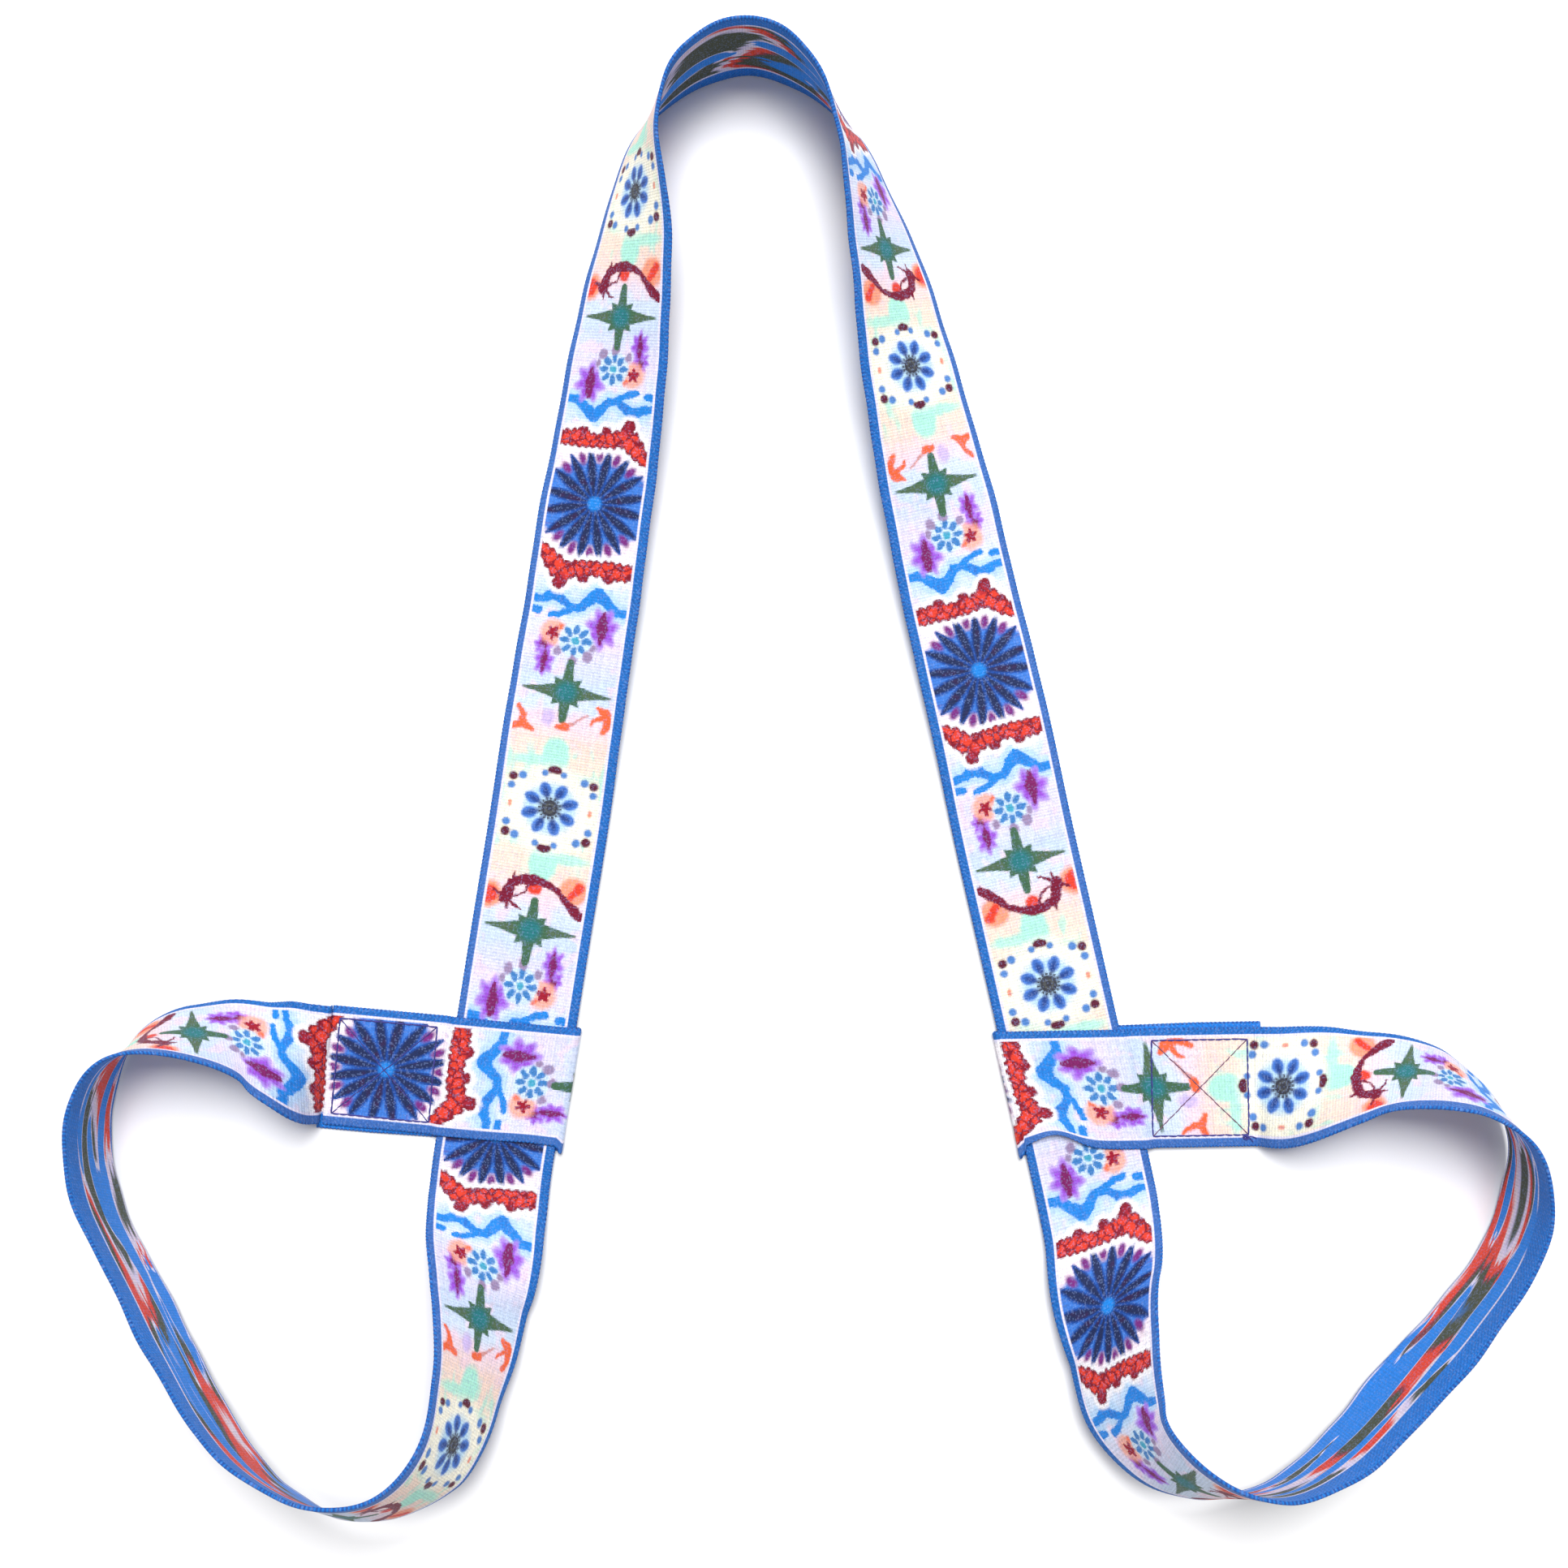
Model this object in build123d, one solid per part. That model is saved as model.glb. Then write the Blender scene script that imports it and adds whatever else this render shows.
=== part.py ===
from build123d import *
import math
import os

# A mat carrying strap lying on a table, in millimetres.
# +Z is up, +Y runs from the carry loops to the shoulder arch, and +X is to the right.
# The middle of the outline, at table height, is the origin.

WIDTH = 38.0
THICK = 1.2
SLIDE_GAP = 0.2
SECTION_STEP = 9.0
ORIGIN = Vector(7.4, 0.6, 0)

SEAM_HALF_WIDTH = 15.2
SEAM_MARGIN = 2.0
THREAD_WIDTH = 0.6
THREAD_HEIGHT = 0.25
RISE_LENGTH = 2.0
TAIL_LENGTH = 2.0

LEFT_LEG_ANGLE = -9.2
RIGHT_LEG_ANGLE = 12.9

# Each station: x, y, height of the lower edge above the table, roll, and skew, in degrees.
# A positive roll lifts the edge on the right of the running direction.
# A positive skew moves that edge forward.
LEFT_CARRY = [
    (-144.8, -89.2, 1.3, 0, 8.5), (-148.5, -88.2, 1.3, -16, 12), (-153, -86.2, 1, -37, 14),
    (-160, -82.8, 0.6, -52, 18), (-169, -79.3, 0, -60, 22), (-181, -77.3, 0, -71, 19),
    (-194, -78, 0, -79, 17), (-205, -84, 0, -86, 18), (-212, -96, 0, -90, 19),
    (-213, -121, 0, -88, 18), (-202.5, -147, 0, -85, 16), (-189, -171, 2, -84, 11),
    (-173.5, -194, 7, -81, 4), (-153, -211, 15, -69, 1), (-128, -217.5, 19, -62, -2),
    (-106, -208, 16, -62, -5), (-97, -187, 7, -60, -11), (-94.4, -160, 1.5, -44, -15),
    (-94.3, -140, 1.3, -10, -12),
]
LEFT_LEG = [
    (-93.5, -128, 1.4, 0, 0), (-88.3, -96, 1.4, 0, 0), (-83.4, -66, 1.4, 0, 0),
    (-78.9, -38, 1.4, 0, 0), (-74.7, -12, 1.4, 0, 0), (-69, 26, 1, 7, 0), (-63.5, 60, 0, 12, 0),
]
ARCH = [
    (-59, 90, 0, 17, 0), (-54, 120, 0, 25, 0), (-50, 148, 0, 36, 0), (-46, 178, 0, 53, 0),
    (-42, 203, 0, 74, 0), (-30, 220, 0, 88, 0), (-10, 227, 0, 93, 0), (8, 218, 0, 86, 0),
    (21, 199, 0, 72, 0), (29, 174, 0, 57, 0), (36, 144, 0, 40, 0), (43, 114, 0, 27, 0),
]
RIGHT_LEG = [
    (50, 84, 0, 15, 0), (58, 50, 0.5, 8, 0), (67, 12, 1.3, 2, 0), (72.1, -12, 1.4, 0, 0),
    (78, -38, 1.4, 0, 0), (84.4, -66, 1.4, 0, 0), (91.3, -96, 1.4, 0, 0),
]
RIGHT_CARRY = [
    (98.6, -128, 1.4, 0, 0), (101, -143, 1.3, -6, 14), (101, -158, 1.3, -27, 18),
    (101.7, -174, 3.5, -49, 18), (106.3, -196, 8.5, -54, 8), (125, -211.5, 14, -60, 7),
    (151, -214, 9.5, -76, 5), (175, -201, 4, -89, 2), (194, -182, 1, -92, -4),
    (212, -161, 1, -91, -5), (226, -137, 1, -89, -6), (226, -110, 3, -82, -9),
    (207, -92, 3, -71, -6), (182, -90, 0, -56, -14), (166, -93.5, 0, -36, -12),
    (156, -95.7, 0.7, -14, -6), (149.6, -96.1, 1.3, 0, -1),
]
STATIONS = LEFT_CARRY + LEFT_LEG + ARCH + RIGHT_LEG + RIGHT_CARRY


def chord_lengths(stations):
    total = [0.0]
    for a, b in zip(stations, stations[1:]):
        total.append(total[-1] + math.hypot(b[0] - a[0], b[1] - a[1]))
    return total


CHORD = chord_lengths(STATIONS)


def smooth_curve(values):
    """Second derivatives of the natural cubic spline through the values."""
    n = len(values)
    gap = [CHORD[i + 1] - CHORD[i] for i in range(n - 1)]
    ratio = [0.0] * n
    bend = [0.0] * n
    for i in range(1, n - 1):
        slope_after = (values[i + 1] - values[i]) / gap[i]
        slope_before = (values[i] - values[i - 1]) / gap[i - 1]
        pivot = 2 * (gap[i - 1] + gap[i]) - gap[i - 1] * ratio[i - 1]
        ratio[i] = gap[i] / pivot
        bend[i] = (6 * (slope_after - slope_before) - gap[i - 1] * bend[i - 1]) / pivot
    for i in range(n - 2, 0, -1):
        bend[i] -= ratio[i] * bend[i + 1]
    return bend


def interval(t):
    k = 0
    while k < len(CHORD) - 2 and t > CHORD[k + 1]:
        k += 1
    return k


def smooth_value(values, bend, t):
    k = interval(t)
    h = CHORD[k + 1] - CHORD[k]
    a = (CHORD[k + 1] - t) / h
    b = 1 - a
    curve = ((a ** 3 - a) * bend[k] + (b ** 3 - b) * bend[k + 1]) * h * h / 6
    return a * values[k] + b * values[k + 1] + curve


def level_slope(values, i):
    """Slope at a station that never lets the curve pass its neighbours' values."""
    if i == 0 or i == len(values) - 1:
        return 0.0
    before = (values[i] - values[i - 1]) / (CHORD[i] - CHORD[i - 1])
    after = (values[i + 1] - values[i]) / (CHORD[i + 1] - CHORD[i])
    if before * after <= 0:
        return 0.0
    return 2 * before * after / (before + after)


def level_value(values, t):
    """Cubic between two stations, flat wherever the stations are level."""
    k = interval(t)
    h = CHORD[k + 1] - CHORD[k]
    slopes = [level_slope(values, k), level_slope(values, k + 1)]
    u = (t - CHORD[k]) / h
    ends = (1 + 2 * u) * (1 - u) ** 2 * values[k] + u * u * (3 - 2 * u) * values[k + 1]
    return ends + u * (1 - u) ** 2 * h * slopes[0] + u * u * (u - 1) * h * slopes[1]


XS = [s[0] for s in STATIONS]
YS = [s[1] for s in STATIONS]
LIFTS = [s[2] for s in STATIONS]
ROLLS = [s[3] for s in STATIONS]
SKEWS = [s[4] for s in STATIONS]
X_BEND = smooth_curve(XS)
Y_BEND = smooth_curve(YS)


def centre(t):
    roll = math.radians(level_value(ROLLS, t))
    lift = max(level_value(LIFTS, t), 0)
    z = lift + WIDTH / 2 * abs(math.sin(roll)) + THICK / 2 * abs(math.cos(roll))
    return Vector(smooth_value(XS, X_BEND, t), smooth_value(YS, Y_BEND, t), z)


def section(middle, across, normal, width=WIDTH):
    """Closed outline of the ribbon, cut across its length."""
    w = across.normalized() * (width / 2)
    n = normal.normalized() * (THICK / 2)
    corners = [middle - w - n, middle + w - n, middle + w + n, middle - w + n]
    return Wire.make_polygon([corner - ORIGIN for corner in corners], close=True)


def strap_section(t):
    step = 0.5
    ahead = centre(min(t + step, CHORD[-1]))
    behind = centre(max(t - step, 0))
    along = (ahead - behind).normalized()
    side = along.cross(Vector(0, 0, 1)).normalized()
    up = side.cross(along)
    roll = math.radians(level_value(ROLLS, t))
    square = side * math.cos(roll) + up * math.sin(roll)
    skew = math.radians(level_value(SKEWS, t))
    across = square * math.cos(skew) + along * math.sin(skew)
    return section(centre(t), across, square.cross(along))


def strap_length(first, last):
    """Solid ribbon between two stations."""
    start = CHORD[first]
    span = CHORD[last] - start
    count = round(span / SECTION_STEP)
    outlines = [strap_section(start + span * i / count) for i in range(count + 1)]
    return Solid.make_loft(outlines, ruled=True)


def direction(angle):
    return Vector(math.cos(math.radians(angle)), math.sin(math.radians(angle)), 0)


class EndLoop:
    """One folded and sewn end of the ribbon, wrapped round its leg."""

    def __init__(self, seam, heading, side, leg_angle, leg_point, seam_length, drift):
        self.seam = seam
        self.along = direction(heading)
        self.across = Vector(-self.along.Y, self.along.X, 0) * side
        self.fold = direction(90 + leg_angle)
        self.away = Vector(self.fold.Y, -self.fold.X, 0) * side
        self.seam_length = seam_length
        self.drift = drift
        reach = (leg_point - seam).dot(self.away) / self.along.dot(self.away)
        half = WIDTH / 2 / self.along.dot(self.away)
        self.outer_edge = reach - half - 2 * SLIDE_GAP
        self.inner_edge = reach + half - SLIDE_GAP

    def outline(self, distance, z, turn, facing=1, drift=0.0):
        across = (self.across * (1 - turn) + self.fold * turn).normalized()
        middle = self.seam + self.along * distance + self.across * drift + Vector(0, 0, z)
        width = WIDTH / across.dot(self.across)
        return section(middle, across, Vector(0, 0, facing), width)

    def fold_outlines(self, radius, height):
        outlines = []
        width = WIDTH / self.fold.dot(self.across)
        hub = self.seam + self.along * self.inner_edge + Vector(0, 0, height)
        for degrees in range(30, 180, 30):
            a = math.radians(degrees)
            normal = self.away * math.sin(a) + Vector(0, 0, math.cos(a))
            outlines.append(section(hub + normal * radius, self.fold, normal, width))
        return outlines

    def ribbon(self):
        under = THICK / 2
        seam_z = THICK * 1.5 + SLIDE_GAP / 2
        over = THICK * 2.5 + 2 * SLIDE_GAP
        rise = self.outer_edge - RISE_LENGTH
        outlines = [self.outline(-SEAM_MARGIN, seam_z, 0)]
        outlines.append(self.outline(rise / 2, seam_z, 0.3))
        outlines.append(self.outline(rise, seam_z, 1))
        outlines.append(self.outline(self.outer_edge, over, 1))
        outlines.append(self.outline(self.inner_edge, over, 1))
        outlines += self.fold_outlines((over - under) / 2, (over + under) / 2)
        outlines.append(self.outline(self.inner_edge, under, 1, -1))
        outlines.append(self.outline(self.outer_edge, under, 1, -1, self.drift * 0.4))
        outlines.append(self.outline(rise / 2, under, 0.3, -1, self.drift * 0.8))
        outlines.append(self.outline(-TAIL_LENGTH, under, 0, -1, self.drift))
        loop = Solid.make_loft(outlines, ruled=True)
        return loop - self.thread(0)

    def thread(self, z):
        """Stitching seen from one side: a rectangle with a cross in it."""
        length = self.seam_length
        half = SEAM_HALF_WIDTH
        corners = [(0, -half), (length, -half), (length, half), (0, half)]
        runs = [(corners[i], corners[(i + 1) % 4]) for i in range(4)]
        runs += [(corners[0], corners[2]), (corners[1], corners[3])]
        bars = None
        for a, b in runs:
            run = math.hypot(b[0] - a[0], b[1] - a[1]) + THREAD_WIDTH
            angle = math.degrees(math.atan2(b[1] - a[1], b[0] - a[0]))
            bar = Box(run, THREAD_WIDTH, THREAD_HEIGHT, align=(Align.CENTER, Align.CENTER, Align.MIN))
            bar = Pos((a[0] + b[0]) / 2, (a[1] + b[1]) / 2, 0) * Rot(0, 0, angle) * bar
            bars = bar if bars is None else bars + bar
        place = Plane(
            origin=self.seam - ORIGIN + Vector(0, 0, z),
            x_dir=self.along,
            z_dir=Vector(0, 0, 1),
        )
        return place * bars


left = EndLoop(
    seam=Vector(-142.3, -89.4, 0), heading=-5.3, side=1,
    leg_angle=LEFT_LEG_ANGLE, leg_point=Vector(-88.3, -96, 0), seam_length=31.0, drift=-1.5,
)
right = EndLoop(
    seam=Vector(147.3, -96.1, 0), heading=181.0, side=-1,
    leg_angle=RIGHT_LEG_ANGLE, leg_point=Vector(91.3, -96, 0), seam_length=30.5, drift=1.5,
)

FIRST_LEG = len(LEFT_CARRY)
FIRST_ARCH = FIRST_LEG + len(LEFT_LEG)
LAST_ARCH = FIRST_ARCH + len(ARCH)
LAST_LEG = LAST_ARCH + len(RIGHT_LEG)
SEAM_TOP = THICK * 2 + SLIDE_GAP / 2

nodes = {
    "left_end_loop": left.ribbon(),
    "left_needle_thread": left.thread(SEAM_TOP),
    "left_bobbin_thread": left.thread(0),
    "left_carry_loop": strap_length(0, FIRST_LEG),
    "left_leg": strap_length(FIRST_LEG, FIRST_ARCH),
    "shoulder_arch": strap_length(FIRST_ARCH, LAST_ARCH),
    "right_leg": strap_length(LAST_ARCH, LAST_LEG),
    "right_carry_loop": strap_length(LAST_LEG, len(STATIONS) - 1),
    "right_end_loop": right.ribbon(),
    "right_needle_thread": right.thread(SEAM_TOP),
    "right_bobbin_thread": right.thread(0),
}

os.makedirs("parts", exist_ok=True)
for name, solid in nodes.items():
    solid.label = name
    export_step(solid, f"parts/{name}.step")

low = [1e9, 1e9, 1e9]
high = [-1e9, -1e9, -1e9]
for name, solid in nodes.items():
    box = solid.bounding_box()
    low = [min(a, b) for a, b in zip(low, box.min)]
    high = [max(a, b) for a, b in zip(high, box.max)]
    print(name, round(solid.volume), solid.is_valid, [round(v, 2) for v in box.min], [round(v, 2) for v in box.max])
print("box", low, high)
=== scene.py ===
import math

import bpy
import numpy as np
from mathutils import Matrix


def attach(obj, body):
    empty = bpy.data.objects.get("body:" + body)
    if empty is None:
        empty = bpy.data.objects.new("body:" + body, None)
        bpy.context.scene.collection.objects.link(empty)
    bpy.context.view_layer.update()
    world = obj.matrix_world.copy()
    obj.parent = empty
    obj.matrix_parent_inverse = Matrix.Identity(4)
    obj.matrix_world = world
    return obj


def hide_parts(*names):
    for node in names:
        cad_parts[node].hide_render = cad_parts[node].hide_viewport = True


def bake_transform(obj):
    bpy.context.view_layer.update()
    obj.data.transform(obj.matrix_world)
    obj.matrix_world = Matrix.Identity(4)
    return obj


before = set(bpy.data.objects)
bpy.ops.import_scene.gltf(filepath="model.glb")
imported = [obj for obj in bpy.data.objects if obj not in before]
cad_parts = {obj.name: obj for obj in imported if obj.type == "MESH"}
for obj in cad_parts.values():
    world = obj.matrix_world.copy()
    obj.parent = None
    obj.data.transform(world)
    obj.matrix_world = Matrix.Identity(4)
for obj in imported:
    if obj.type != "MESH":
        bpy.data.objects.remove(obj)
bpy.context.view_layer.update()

MM = 0.001

# Ribbon and seam sizes, in millimetres and degrees, the same as the CAD part's.
WIDTH = 38.0
THICK = 1.2
SLIDE_GAP = 0.2
ORIGIN = np.array([7.4, 0.6, 0.0])
SEAM_HALF_WIDTH = 15.2
RISE_LENGTH = 2.0
TAIL_LENGTH = 5.0
LEFT_LEG_ANGLE = -9.2
RIGHT_LEG_ANGLE = 12.9

# Mesh fineness, in millimetres and points.
STEP = 0.4
FACE_POINTS = 18
EDGE_POINTS = 4
TUBE_SIDES = 8

# The selvedge's small teeth, and how far the ribbon's height is evened out along it.
SCALLOP = 0.09
SCALLOP_PITCH = 1.25
EVEN_LENGTH = 9.0
# The ribbon lies level until the sine of its roll is HELD / RELEASE, and flutters beyond that.
HELD = 1.2
RELEASE = 12

# The end loops: the climb onto the leg, the buckled edge and the way the under ply lies.
CLIMB_LEAD = 1.0
CLIMB_LENGTH = RISE_LENGTH + 1.6
BUCKLE_LENGTH = 9
BUCKLE_LIFT = 0.45
POKE_RISE = 2
DRIFT_LENGTH = 60

# Sewing: stitch length, thread radii and the height of the two seams.
STITCH_PITCH = 2.6
SQUARE_THREAD = 0.27
CROSS_THREAD = 0.18
KNOT_THREAD = 0.2
STITCH_WANDER = 0.06
NEEDLE_HEIGHT = 2 * THICK + SLIDE_GAP / 2 + 0.1
BOBBIN_HEIGHT = 0.22

# A UV unit is this many millimetres of ribbon.
UV_UNIT = 100.0
# How much light cloth, thread and paper mirror.
SPECULAR = 0.18

# Material numbers on the ribbon meshes.
FACE_SLOT = 0
REVERSE_SLOT = 1
SELVEDGE_SLOT = 2

# Each station: x, y, height of the lower edge, roll and skew in degrees.
LEFT_CARRY = [
    (-144.8, -89.2, 1.3, 0, 8.5), (-148.5, -88.2, 1.3, -16, 12), (-153, -86.2, 1, -37, 14),
    (-160, -82.8, 0.6, -52, 18), (-169, -79.3, 0, -60, 22), (-181, -77.3, 0, -71, 19),
    (-194, -78, 0, -79, 17), (-205, -84, 0, -86, 18), (-212, -96, 0, -90, 19),
    (-213, -121, 0, -88, 18), (-202.5, -147, 0, -85, 16), (-189, -171, 2, -84, 11),
    (-173.5, -194, 7, -81, 4), (-153, -211, 15, -69, 1), (-128, -217.5, 19, -62, -2),
    (-106, -208, 16, -62, -5), (-97, -187, 7, -60, -11), (-94.4, -160, 1.5, -44, -15),
    (-94.3, -140, 1.3, -10, -12),
]
LEFT_LEG = [
    (-93.5, -128, 1.4, 0, 0), (-88.3, -96, 1.4, 0, 0), (-83.4, -66, 1.4, 0, 0),
    (-78.9, -38, 1.4, 0, 0), (-74.7, -12, 1.4, 0, 0), (-69, 26, 1, 7, 0), (-63.5, 60, 0, 12, 0),
]
ARCH = [
    (-59, 90, 0, 17, 0), (-54, 120, 0, 25, 0), (-50, 148, 0, 36, 0), (-46, 178, 0, 53, 0),
    (-42, 203, 0, 74, 0), (-30, 220, 0, 88, 0), (-10, 227, 0, 93, 0), (8, 218, 0, 86, 0),
    (21, 199, 0, 72, 0), (29, 174, 0, 57, 0), (36, 144, 0, 40, 0), (43, 114, 0, 27, 0),
]
RIGHT_LEG = [
    (50, 84, 0, 15, 0), (58, 50, 0.5, 8, 0), (67, 12, 1.3, 2, 0), (72.1, -12, 1.4, 0, 0),
    (78, -38, 1.4, 0, 0), (84.4, -66, 1.4, 0, 0), (91.3, -96, 1.4, 0, 0),
]
RIGHT_CARRY = [
    (98.6, -128, 1.4, 0, 0), (101, -143, 1.3, -6, 14), (101, -158, 1.3, -27, 18),
    (101.7, -174, 3.5, -49, 18), (106.3, -196, 8.5, -54, 8), (125, -211.5, 14, -60, 7),
    (151, -214, 9.5, -76, 5), (175, -201, 4, -89, 2), (194, -182, 1, -92, -4),
    (212, -161, 1, -91, -5), (226, -137, 1, -89, -6), (226, -110, 3, -82, -9),
    (207, -92, 3, -71, -6), (182, -90, 0, -56, -14), (166, -93.5, 0, -36, -12),
    (156, -95.7, 0.7, -14, -6), (149.6, -96.1, 1.3, 0, -1),
]
STATIONS = np.array(LEFT_CARRY + LEFT_LEG + ARCH + RIGHT_LEG + RIGHT_CARRY, float)

# Where the woven pattern falls: distance along the ribbon, and pattern position there.
REPEAT = 203.0
PATTERN = [
    (-175, -154), (-72, -50.6), (-41.5, -20.8), (-18.5, 0), (3, 20), (29.1, 44), (45.3, 61),
    (283.8, 304.5), (320.5, 345), (377.6, 406), (443.7, 467), (482.7, 507.5), (519.8, 548),
    (579.9, 609), (638.2, 670), (673.5, 707), (818.3, 873), (854.5, 913.5), (891.8, 954),
    (952, 1015), (1014, 1076), (1054, 1116.5), (1111, 1174), (1157.2, 1218), (1214.7, 1279),
    (1413, 1464), (1426.5, 1482), (1463.8, 1522.5), (1492.1, 1551), (1505.4, 1563),
    (1522.5, 1579.8), (1548.3, 1603.4), (1645, 1704),
]
# How far the pattern's middle sits towards the second edge, along the ribbon.
PATTERN_SHIFT = [
    (-80, 0.3), (50, 0.3), (110, 5.0), (230, 3.0), (290, 0.3), (350, -0.3), (660, -0.3),
    (720, 0.6), (780, 0.6), (830, -0.3), (1200, -0.1), (1260, 4.0), (1370, 4.5), (1430, 0.3),
    (1560, 0.3),
]


def limited(value):
    """The value kept between 0 and 1."""
    return np.clip(value, 0.0, 1.0)


def smooth(value):
    """0 below 0, 1 above 1, and an even S-curve between."""
    t = limited(value)
    return t * t * (3 - 2 * t)


def unit(vectors):
    """The same directions, each of length 1."""
    return vectors / np.linalg.norm(vectors, axis=-1, keepdims=True)


def natural_spline(knots, values, wanted):
    """Natural cubic spline through the values, read at the wanted places."""
    n = len(knots)
    gap = np.diff(knots)
    system = np.eye(n)
    right_side = np.zeros(n)
    for i in range(1, n - 1):
        system[i, i - 1] = gap[i - 1]
        system[i, i] = 2 * (gap[i - 1] + gap[i])
        system[i, i + 1] = gap[i]
        after = (values[i + 1] - values[i]) / gap[i]
        before = (values[i] - values[i - 1]) / gap[i - 1]
        right_side[i] = 6 * (after - before)
    bend = np.linalg.solve(system, right_side)
    k = np.clip(np.searchsorted(knots, wanted) - 1, 0, n - 2)
    a = (knots[k + 1] - wanted) / gap[k]
    b = 1 - a
    curve = ((a**3 - a) * bend[k] + (b**3 - b) * bend[k + 1]) * gap[k] ** 2 / 6
    return a * values[k] + b * values[k + 1] + curve


def level_spline(knots, values, wanted):
    """Cubic between neighbours that stays flat wherever the stations are level."""
    slopes = np.zeros(len(knots))
    secant = np.diff(values) / np.diff(knots)
    for i in range(1, len(knots) - 1):
        if secant[i - 1] * secant[i] > 0:
            slopes[i] = 2 * secant[i - 1] * secant[i] / (secant[i - 1] + secant[i])
    k = np.clip(np.searchsorted(knots, wanted) - 1, 0, len(knots) - 2)
    h = knots[k + 1] - knots[k]
    u = (wanted - knots[k]) / h
    ends = (1 + 2 * u) * (1 - u) ** 2 * values[k] + u * u * (3 - 2 * u) * values[k + 1]
    return ends + u * (1 - u) ** 2 * h * slopes[k] + u * u * (u - 1) * h * slopes[k + 1]


def chord_lengths(points):
    """Distance along the points from the first one to each of them."""
    steps = np.linalg.norm(np.diff(points, axis=0), axis=1)
    return np.concatenate([[0.0], np.cumsum(steps)])


def waves(s, seed, lengths, sizes):
    """Gentle irregular waviness: a sum of a few sines with fixed random phases."""
    rng = np.random.default_rng(seed)
    total = np.zeros_like(s)
    for length, size in zip(lengths, sizes):
        total += size * np.sin(2 * math.pi * s / length + rng.uniform(0, 2 * math.pi))
    return total


def build_strap():
    """Middle line, weft direction and face normal of the long ribbon, finely sampled."""
    chord = chord_lengths(STATIONS[:, :2])
    t = np.linspace(0, chord[-1], int(chord[-1] / STEP) + 1)
    roll = np.radians(level_spline(chord, STATIONS[:, 3], t))
    lift = np.maximum(level_spline(chord, STATIONS[:, 2], t), 0)
    x = natural_spline(chord, STATIONS[:, 0], t)
    y = natural_spline(chord, STATIONS[:, 1], t)
    z = lift + WIDTH / 2 * np.abs(np.sin(roll)) + THICK / 2 * np.abs(np.cos(roll))
    kernel = np.hanning(int(EVEN_LENGTH / STEP) | 1)
    kernel /= kernel.sum()
    pad = len(kernel) // 2
    soft = np.convolve(np.pad(z, pad, mode="edge"), kernel, mode="valid")
    free = 1 - smooth(HELD - np.abs(np.sin(roll)) * RELEASE)
    z = z + (soft - z) * free
    middle = np.stack([x, y, z], axis=1)
    along = unit(np.gradient(middle, axis=0))
    side = unit(np.cross(along, [0.0, 0.0, 1.0]))
    up = np.cross(side, along)
    square = side * np.cos(roll)[:, None] + up * np.sin(roll)[:, None]
    skew = np.radians(level_spline(chord, STATIONS[:, 4], t))
    weft = square * np.cos(skew)[:, None] + along * np.sin(skew)[:, None]
    s = chord_lengths(middle)
    return {
        "middle": middle,
        "weft": weft,
        "normal": np.cross(square, along),
        "s": s,
        "chord": t,
        "stations": chord,
        "free": free,
    }


def placed(data):
    """A new object in the scene, with the same name as its data."""
    thing = bpy.data.objects.new(data.name, data)
    bpy.context.scene.collection.objects.link(thing)
    return thing


def finished_piece(mesh, materials):
    """The mesh placed in the scene, with its materials."""
    for material in materials:
        mesh.materials.append(material)
    mesh.update()
    return placed(mesh)


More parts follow.
